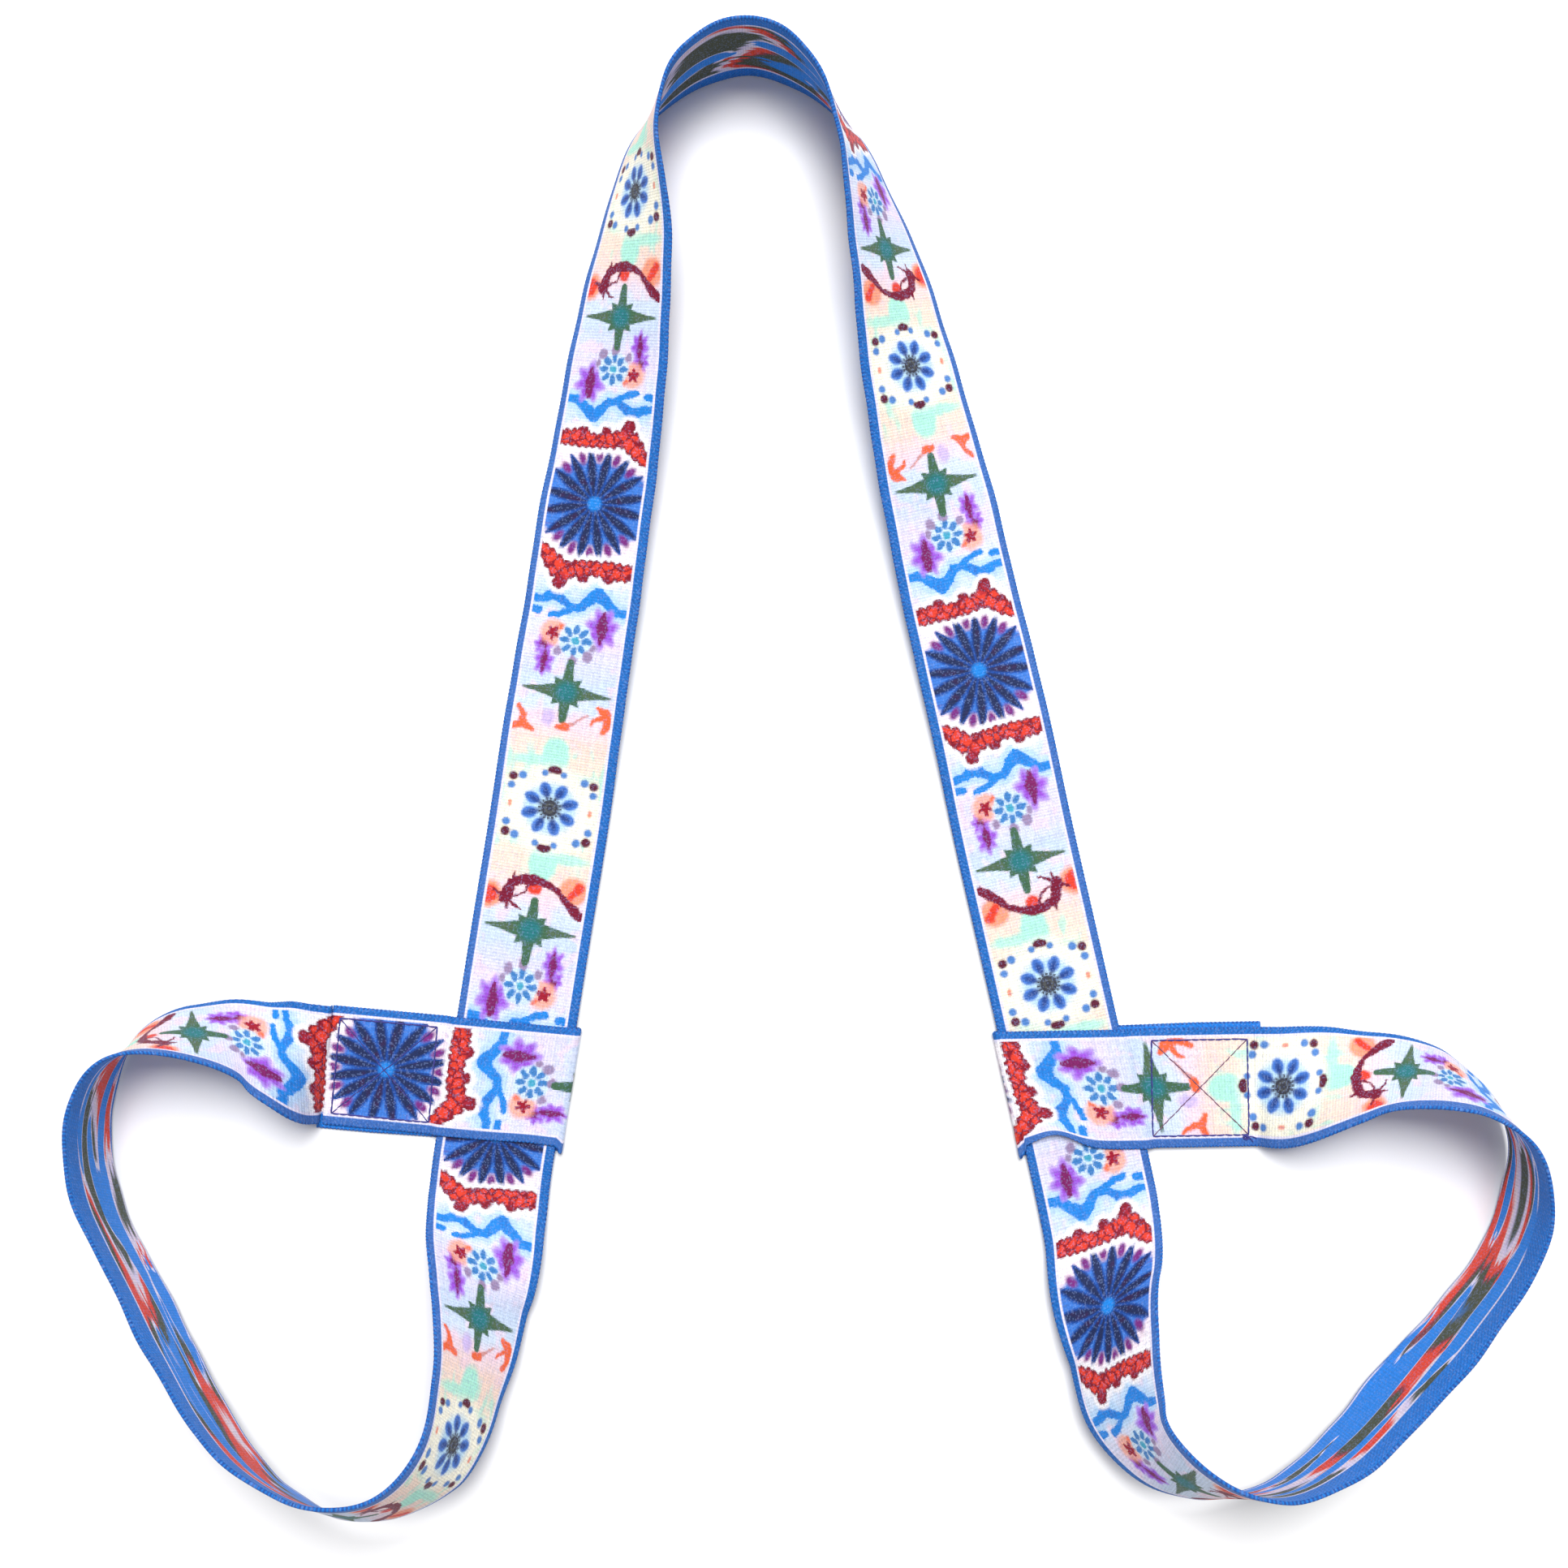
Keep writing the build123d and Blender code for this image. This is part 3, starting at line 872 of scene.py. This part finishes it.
def paint_bloom(n, canvas, a, b, a0, b0, long, wide):
    """Violet bloom with ragged petals and a magenta heart, drawn out along the ribbon."""
    da = n.over(n.minus(a, a0), long)
    db = n.over(n.minus(b, b0), wide)
    r = n.length(da, db)
    angle = n.math("ARCTAN2", db, da)
    lobes = n.times(n.math("COSINE", n.times(angle, 7.0)), 0.16)
    canvas.fill(n.minus(r, n.plus(lobes, 0.98)), 0.22, colour("b488f0"), 0.85)
    canvas.fill(n.minus(r, n.plus(lobes, 0.74)), 0.3, VIOLET)
    heart = [(a0 - long * 0.75, b0, wide * 0.16), (a0 - long * 0.1, b0, wide * 0.38)]
    heart.append((a0 + long * 0.7, b0, wide * 0.12))
    canvas.fill(n.stroke(a, b, heart), 0.6, MAGENTA)


def paint_tiny_daisy(n, canvas, a, b):
    """Eight small blue petals on a pale round."""
    da = n.minus(a, 44.2)
    db = n.plus(b, 0.3)
    r = n.length(da, db)
    angle = n.math("ARCTAN2", db, da)
    canvas.fill(n.minus(r, 5.6), 1.0, colour("cfe8fa"), 0.9)
    sector = math.pi / 8
    local = n.times(r, n.math("WRAP", angle, sector, -sector))
    canvas.paint(n.disc(r, local, 3.6, 0.0, 1.7, 1.05, 0.4), colour("3f80c4"))
    canvas.fill(n.minus(r, 1.25), 0.5, colour("45a8c8"))


def paint_red_flower(n, canvas, a, b):
    """Dark red five-petalled flower on a coral round."""
    canvas.paint(n.disc(a, b, 42.4, 7.2, 4.2, 4.4, 1.6), colour("f9a88c"), 0.85)
    canvas.paint(n.disc(a, b, 40.4, 4.6, 1.1, soft=0.7), CORAL, 0.9)
    da = n.minus(a, 42.6)
    db = n.minus(b, 7.4)
    lobes = n.times(n.math("COSINE", n.times(n.math("ARCTAN2", db, da), 5.0)), 0.6)
    canvas.fill(n.minus(n.length(da, db), n.plus(lobes, 1.95)), 0.5, colour("a0142e"))


def paint_small_flowers(n, canvas, a, b):
    """Two violet blooms, a little blue daisy, a red flower and buds."""
    paint_bloom(n, canvas, a, b, 47.2, 9.8, 3.4, 3.0)
    paint_bloom(n, canvas, a, b, 39.4, -8.4, 6.4, 5.2)
    paint_bloom(n, canvas, a, b, 52.0, 8.9, 4.6, 3.2)
    paint_red_flower(n, canvas, a, b)
    paint_tiny_daisy(n, canvas, a, b)
    for a0, b0, radius in ((48.8, -5.0, 1.6), (50.6, -0.4, 1.5), (48.2, 5.0, 1.3), (45.8, -6.4, 1.1)):
        canvas.paint(n.disc(a, b, a0, b0, radius * 1.15, radius, 0.6), MAUVE)


def paint_star(n, canvas, a, b):
    """Four leaf-shaped points and four short thorns, with a teal centre."""
    a = n.size(n.minus(a, 61.0))
    b = n.size(b)
    side = n.stroke(a, b, [(0, 0, 3.2), (0, 5, 2.2), (0, 9, 1.2), (0.2, 14.5, 0.1)])
    ends = n.stroke(a, b, [(0, 0, 3.2), (4.5, 0, 1.8), (9.6, 0, 1.2)])
    thorn = n.stroke(a, b, [(1.5, 1.5, 2.6), (4.2, 4.2, 0.35)])
    canvas.fill(n.least(n.least(side, ends), thorn), 0.4, GREEN)
    canvas.paint(n.disc(a, b, 0.0, 0.0, 3.3, soft=2.2), TEAL, 0.85)
    canvas.fill(n.stroke(a, b, [(0, 6.5, 1.2), (0.2, 14, 0.1)]), 0.8, colour("5b6b52"), 0.6)


def paint_arch(n, canvas, a, b, side):
    """Dark red bough with coral flames, only on the far side of the repeat."""
    bough = [
        (70.4, -9.6, 2.2), (75.4, -8.2, 1.5), (77.0, -4.6, 1.6), (77.4, -1.0, 1.7), (76.6, 3, 1.2),
        (74.8, 6.8, 0.9), (71.6, 9.8, 1.2), (69.2, 12.6, 1.8), (67.4, 14.8, 1.4),
    ]
    twigs = n.stroke(a, b, [(76.4, -7.6, 0.9), (78.8, -7.8, 0.3)])
    for tip in ([(66.6, -8.6, 0.3)], [(67.6, -5.6, 0.4), (67.2, -4.0, 0.3)], [(72.0, -13.2, 0.5)]):
        twigs = n.least(twigs, n.stroke(a, b, [(70.0, -9.2, 0.7)] + tip))
    curl = n.stroke(a, b, [(71.2, -7.0, 0.5), (72.6, -4.0, 0.35), (75.2, -2.8, 0.5)])
    lit = n.least(n.dot(a, b, 75.4, 11.6, 4.6), n.dot(a, b, 70.6, -15.2, 4.6))
    canvas.fill(lit, 1.6, colour("fa9a76"), 0.95, where=side)
    hot = n.least(n.stroke(a, b, [(77.0, 13.6, 1.5), (73.6, 11.0, 1.2)]), n.dot(a, b, 70.6, -15.4, 3.2))
    hot = n.least(hot, n.dot(a, b, 74.8, -0.8, 2.3))
    canvas.fill(hot, 0.9, ORANGE_RED, where=side)
    dark = n.least(n.stroke(a, b, bough), n.least(twigs, curl))
    canvas.fill(dark, 0.4, colour("7a1032"), where=side)


def paint_curls(n, canvas, a, b, side):
    """Coral curls that take the bough's place on the near side."""
    left = n.stroke(a, b, [(67.6, 14.6, 0.6), (70.6, 12.6, 1.0), (73.6, 12.4, 1.6), (75.2, 9.4, 0.9)])
    left = n.least(left, n.stroke(a, b, [(73.6, 12.4, 1.4), (74.8, 15.6, 1.2)]))
    hook = [(64.8, -10.8, 0.8), (66.4, -13.6, 1.7), (69.6, -14.8, 1.3), (73, -13.4, 1.0)]
    right = n.stroke(a, b, hook)
    right = n.least(right, n.stroke(a, b, [(67.4, -13.6, 1.0), (69.2, -10.2, 0.7), (70.8, -9.4, 0.4)]))
    blob = n.stroke(a, b, [(73.2, 0.9, 1.1), (72.8, -1.4, 1.5)])
    trail = n.stroke(a, b, [(72.4, -2.0, 0.8), (70.2, -4.8, 0.4), (68.0, -7.8, 0.3)])
    canvas.paint(n.times(side, n.disc(a, b, 70.3, 4.6, 3.0, 2.0, 1.2)), colour("c9b4ee"), 0.8)
    canvas.fill(trail, 0.5, colour("d08a84"), 0.9, where=side)
    canvas.fill(n.least(blob, n.least(left, right)), 0.6, CORAL, where=side)


def paint_daisy(n, canvas, a, b):
    """Blue daisy on cream, ringed by six clusters of buds."""
    r = n.length(a, b)
    angle = n.math("ARCTAN2", b, a)
    canvas.fill(n.minus(r, 14.5), 4.0, colour("fffbe8"))
    canvas.fill(n.minus(r, 8.8), 3.2, colour("b4dcf8"), 0.9)
    sector = math.pi / 8
    local = n.times(r, n.math("WRAP", n.minus(angle, 0.46), sector, -sector))
    canvas.paint(n.disc(r, local, 6.8, 0.0, 2.5, 1.95, 0.7), colour("4478d0"))
    canvas.paint(n.disc(r, local, 5.4, 0.0, 2.6, 0.95, 0.9), INK, 0.85)
    canvas.fill(n.minus(r, 2.8), 0.4, CHARCOAL)
    canvas.fill(n.size(n.minus(r, 1.4)), 0.9, colour("74786e"))
    bead = n.times(r, n.math("WRAP", angle, sector / 2, -sector / 2))
    canvas.paint(n.disc(r, bead, 3.3, 0.0, 0.5, 0.4, 0.4), CHARCOAL)
    a = n.size(a)
    b = n.size(b)
    buds = n.least(n.dot(a, b, 12.0, 3.0, 1.15), n.dot(a, b, 10.2, 9.9, 1.4))
    buds = n.least(buds, n.dot(a, b, 6.3, 13.1, 1.3))
    canvas.fill(buds, 0.7, colour("5285cc"))
    hips = n.least(n.stroke(a, b, [(13.5, 0, 1.4), (13.3, 1.1, 1.2)]), n.dot(a, b, 9.5, 12.9, 1.5))
    canvas.fill(hips, 0.6, colour("5e1c34"))
    canvas.fill(n.dot(a, b, 0.4, 12.8, 0.7), 0.6, CORAL, 0.8)


def thread_tone_and_groove_shade(n, s, b, s_cell, b_cell):
    """Brightness that varies at random from thread to thread, times painted shade: the grooves of the
    ribs between them, and between the lengthwise threads, are painted darker.
    """
    grain = n.random(n.vector(s_cell, b_cell))
    warp_line = n.random(n.vector(0.0, b_cell, 7.0))
    weft_line = n.random(n.vector(s_cell, 0.0, 8.0))
    total = n.plus(n.times(grain, 0.17), n.plus(n.times(warp_line, 0.08), n.times(weft_line, 0.07)))
    # Painted shade: rib tops lighter, and the grooves between ribs and between lengthwise threads
    # darker.
    rib = n.times(n.sine(s, RIB_PITCH), 0.05)
    warp = n.times(n.sine(b, WARP_PITCH), 0.03)
    return n.plus(n.plus(total, CLOTH_LIGHT), n.plus(rib, warp))


def paint_ties(n, canvas, s_cell, b_cell):
    """Single picks of another colour where the hidden threads come up."""
    pick = n.random(n.vector(s_cell, b_cell, 3.0))
    tie = n.math("GREATER_THAN", pick, 0.8)
    canvas.paint(tie, colour("8fa8e0"), 0.22)


def weave_height(n, s, b):
    """Cross ribs broken by the lengthwise threads, and a little fuzz."""
    rib = n.sine(s, RIB_PITCH)
    checker = n.times(rib, n.sine(b, WARP_PITCH))
    fuzz = n.noise(n.vector(s, b), 1.6, 3.0, 0.6)
    woven = n.plus(n.times(rib, 0.25), n.times(checker, 0.2))
    return n.plus(n.scaled(fuzz, 0.5, 0.25), woven)


def border_colour(n, s, b, light, dark):
    """Solid blue selvedge with slanting twill lines."""
    slant = n.plus(s, n.times(n.size(b), 0.9))
    twill = n.scaled(n.sine(slant, TWILL_PITCH), 0.5, 0.5)
    cloud = n.noise(n.vector(s, b), 0.12, 2.0)
    return n.mix(n.plus(n.times(twill, 0.5), n.times(cloud, 0.4)), light, dark)


def woven(n, canvas, s, b, s_cell, b_cell):
    """The finish shared by every side of the ribbon."""
    paint_ties(n, canvas, s_cell, b_cell)
    shaded = n.shade(canvas.colour, thread_tone_and_groove_shade(n, s, b, s_cell, b_cell))
    height = weave_height(n, s, b)
    return n.finish(shaded, roughness=0.66, height=height, bump_mm=0.16, strength=0.6, sheen=0.03)


def jacquard_face():
    """The patterned side of the ribbon."""
    n = Nodes("jacquard_face")
    s, b = ribbon_coordinates(n)
    s_cell = snapped(n, s)
    b_cell = snapped(n, b)
    ds, db = nudge(n, s_cell, b_cell, 0.42, 1.1)
    signed = n.math("WRAP", n.plus(s_cell, ds), HALF_REPEAT, -HALF_REPEAT)
    sign = n.math("SIGN", signed)
    far = n.scaled(sign, 0.5, 0.5)
    near = n.minus(1.0, far)
    a = n.size(signed)
    across = n.times(n.plus(b_cell, db), sign)
    neat = n.math("WRAP", n.plus(s_cell, n.times(ds, 0.3)), HALF_REPEAT, -HALF_REPEAT)
    neat_b = n.plus(b_cell, n.times(db, 0.3))
    canvas = Canvas(n, WHITE)
    paint_ground(n, canvas, a, across, s_cell, b_cell)
    paint_squiggle(n, canvas, a, across)
    paint_small_flowers(n, canvas, a, across)
    paint_star(n, canvas, n.size(neat), n.times(neat_b, sign))
    paint_arch(n, canvas, a, across, far)
    paint_curls(n, canvas, a, across, near)
    paint_starburst(n, canvas, neat, neat_b)
    paint_red_band(n, canvas, a, across)
    shifted = n.plus(s_cell, n.plus(n.times(ds, 0.3), HALF_REPEAT))
    half_way = n.math("WRAP", shifted, HALF_REPEAT, -HALF_REPEAT)
    paint_daisy(n, canvas, half_way, neat_b)
    out = n.size(b)
    canvas.fill(n.minus(PATTERN_EDGE, out), 0.3, EDGE_LINE)
    canvas.paint(n.inside(n.minus(LINE_EDGE, out), 0.3), border_colour(n, s, b, BORDER, BORDER_DARK))
    canvas.fill(n.plus(b, LINE_EDGE), 0.3, colour("5873b8"), 0.4)
    return woven(n, canvas, s, b, s_cell, b_cell)


def jacquard_reverse():
    """The back of the ribbon, where the pattern threads float in long soft patches."""
    n = Nodes("jacquard_reverse")
    s, b = ribbon_coordinates(n)
    s_cell = snapped(n, s)
    b_cell = snapped(n, b)
    row = n.math("SNAP", b, RIB_PITCH)
    ragged = n.plus(s_cell, n.times(n.random(n.vector(row, 5.0)), 8.0))
    patch = n.noise(n.vector(ragged, n.times(b, 9.0), 2.0), 0.016, 0.0)
    tone = n.noise(n.vector(ragged, n.times(b, 2.5), 9.0), 0.024, 0.0)
    stops = [
        (0.33, REVERSE_BLUE),
        (0.35, OLIVE),
        (0.43, OLIVE),
        (0.45, colour("8a3442")),
        (0.47, FLAME),
        (0.53, FLAME),
        (0.55, colour("f3dfe6")),
        (0.6, colour("e4d8f6")),
        (0.63, OLIVE),
    ]
    canvas = Canvas(n, REVERSE_BLUE)
    canvas.fill(n.minus(0.475, patch), 0.006, EDGE_LINE)
    canvas.paint(n.inside(n.minus(0.495, patch), 0.01), n.ramp(tone, stops))
    out = n.size(b)
    streak = n.noise(n.vector(s, n.math("SIGN", b)), 0.02, 1.0)
    present = n.scaled(n.minus(streak, 0.42), 20.0, 0.5, clamp=True)
    canvas.fill(n.minus(FLOAT_EDGE, out), 0.3, EDGE_LINE, where=present)
    edge = n.inside(n.minus(REVERSE_EDGE, out), 0.3)
    canvas.paint(edge, border_colour(n, s, b, REVERSE_BLUE, REVERSE_DARK))
    return woven(n, canvas, s, b, s_cell, b_cell)


def selvedge():
    """The rolled edge, where the weft turns round the last warp threads."""
    n = Nodes("selvedge")
    s, b = ribbon_coordinates(n)
    turn = n.scaled(n.sine(s, SCALLOP_PITCH), 0.5, 0.5)
    canvas = Canvas(n, n.mix(turn, colour("244f9e"), BORDER))
    return woven(n, canvas, s, b, snapped(n, s), snapped(n, b))


def thread_material(name, code, dark_code):
    """Twisted sewing thread."""
    n = Nodes(name)
    place = n.add("ShaderNodeTexCoord").outputs["Object"]
    x, y, z = n.split(place)
    slant = n.plus(n.plus(x, y), n.times(z, 1.7))
    twist = n.scaled(n.sine(n.times(slant, 1 / MM), TWIST_PITCH), 0.5, 0.5)
    fleck = n.noise(place, 900.0, 2.0)
    amount = n.plus(n.times(twist, 0.5), n.times(fleck, 0.4))
    mixed = n.mix(amount, colour(dark_code), colour(code))
    return n.finish(mixed, roughness=0.45, height=twist, bump_mm=0.08, strength=0.6, sheen=0.2)


def floor_material():
    """Plain pale paper with the faintest grain."""
    n = Nodes("pale_floor")
    place = n.add("ShaderNodeTexCoord").outputs["Object"]
    grain = n.noise(place, 60.0, 4.0, 0.6)
    tint = n.mix(n.times(grain, 0.4), colour("eeeeee"), colour("eaeaec"))
    return n.finish(tint, roughness=0.9, height=grain, bump_mm=0.02, strength=0.1)


FACE = jacquard_face()
REVERSE = jacquard_reverse()
SELVEDGE = selvedge()
CLOTH = (FACE, REVERSE, SELVEDGE)
NAVY_THREAD = thread_material("navy_thread", "4a48a8", "1f1d5c")
PLUM_THREAD = thread_material("plum_thread", "8e6480", "5e3c58")

# Station numbers where the long ribbon's named lengths begin.
FIRST_LEG = len(LEFT_CARRY)
FIRST_ARCH = FIRST_LEG + len(LEFT_LEG)
LAST_ARCH = FIRST_ARCH + len(ARCH)
LAST_LEG = LAST_ARCH + len(RIGHT_LEG)
LAST = len(STATIONS) - 1
# The long piece runs on past each leg, to where the sliding end loop no longer pulls at the ribbon.
LEFT_SPLIT = FIRST_LEG - 2
RIGHT_SPLIT = LAST_LEG + 3

strap = build_strap()
total = strap["s"][-1]


def long_ribbon():
    """Both legs and the shoulder arch, in one length."""
    rings = strap_rings(strap, LEFT_SPLIT, RIGHT_SPLIT)
    piece = ribbon_mesh("leg_and_arch_webbing", rings, CLOTH)
    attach(piece, "strap")
    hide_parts("left_leg", "shoulder_arch", "right_leg")


def carry_ribbon(side, first, last):
    """The loose loop between the end seam and the leg."""
    rings = strap_rings(strap, first, last)
    piece = ribbon_mesh(f"{side}_carry_webbing", rings, CLOTH)
    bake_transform(piece)
    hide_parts(f"{side}_carry_loop")


def end_ribbon(side, loop, dip, poke):
    """The folded end: dip is how far its edge buckles, poke how far the under ply shows."""
    piece = ribbon_mesh(f"{side}_end_webbing", loop.rings(dip, poke), CLOTH)
    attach(piece, f"{side}_slider")
    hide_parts(f"{side}_end_loop")


def seam(side, loop, seed, threads):
    """Needle thread on the upper face and bobbin thread beneath."""
    needle = seam_stitches(loop, NEEDLE_HEIGHT, 0.3, seed)
    bobbin = seam_stitches(loop, BOBBIN_HEIGHT, -0.15, seed + 1)
    for kind, parts in (("needle", needle), ("bobbin", bobbin)):
        piece = tubes_mesh(f"{side}_{kind}_stitches", parts, threads)
        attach(piece, f"{side}_slider")
        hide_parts(f"{side}_{kind}_thread")


left_join = STATIONS[0, :2]
right_join = STATIONS[-1, :2]
left_loop = EndLoop(
    seam=(-142.3, -89.4),
    angle=-5.3,
    side=1,
    leg_angle=LEFT_LEG_ANGLE,
    leg_point=(-88.3, -96),
    seam_length=31.0,
    drift=-1.5,
    join=left_join,
    label=0.0,
)
right_loop = EndLoop(
    seam=(147.3, -96.1),
    angle=181.0,
    side=-1,
    leg_angle=RIGHT_LEG_ANGLE,
    leg_point=(91.3, -96),
    seam_length=30.5,
    drift=1.5,
    join=right_join,
    label=total,
)

long_ribbon()
carry_ribbon("left", 0, LEFT_SPLIT)
carry_ribbon("right", RIGHT_SPLIT, LAST)
end_ribbon("left", left_loop, dip=0.5, poke=3.0)
end_ribbon("right", right_loop, dip=5.5, poke=3.0)
seam("left", left_loop, seed=11, threads=(NAVY_THREAD, NAVY_THREAD))
seam("right", right_loop, seed=21, threads=(NAVY_THREAD, PLUM_THREAD))
tails = loose_end(right_loop, d=1.0, n=-16.0, z=NEEDLE_HEIGHT, seed=31)
knot = tubes_mesh("right_thread_knot", tails, (NAVY_THREAD,))
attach(knot, "right_slider")


# Stage, lights and camera, in metres, watts, degrees and millimetres of lens.
FLOOR_SIZE = 6
FLOOR_HEIGHT = -0.0002
KEY_SIZE = 1.0
KEY_POWER = 68
KEY_PLACE = (0.05, 0.95, 2.15)
KEY_TILT = -24
FILL_STRENGTH = 0.44
FILL_COLOUR = (1.0, 0.99, 1.0, 1.0)
CAMERA_PLACE = (-0.0074, -0.0006, 0.54)
SENSOR_WIDTH = 36
LENS = 38.88


def stage_and_lights():
    """A wide pale floor, a soft key light from beyond the arch and an even white fill."""
    bpy.ops.mesh.primitive_plane_add(size=FLOOR_SIZE, location=(0, 0, FLOOR_HEIGHT))
    floor = bpy.context.object
    floor.name = "floor"
    floor.data.materials.append(floor_material())
    key_data = bpy.data.lights.new("key", "AREA")
    key_data.size = KEY_SIZE
    key_data.energy = KEY_POWER
    key = placed(key_data)
    key.location = KEY_PLACE
    key.rotation_euler = (math.radians(KEY_TILT), 0, 0)
    world = bpy.data.worlds.new("studio")
    world.use_nodes = True
    backdrop = world.node_tree.nodes["Background"]
    backdrop.inputs[0].default_value = FILL_COLOUR
    backdrop.inputs[1].default_value = FILL_STRENGTH
    bpy.context.scene.world = world
    bpy.context.scene.view_settings.view_transform = "Standard"


def camera():
    """Straight down from about half a metre, as a person holding a camera over the table."""
    data = bpy.data.cameras.new("camera")
    data.sensor_width = SENSOR_WIDTH
    data.lens = LENS
    eye = placed(data)
    eye.location = CAMERA_PLACE
    bpy.context.scene.camera = eye


stage_and_lights()
camera()
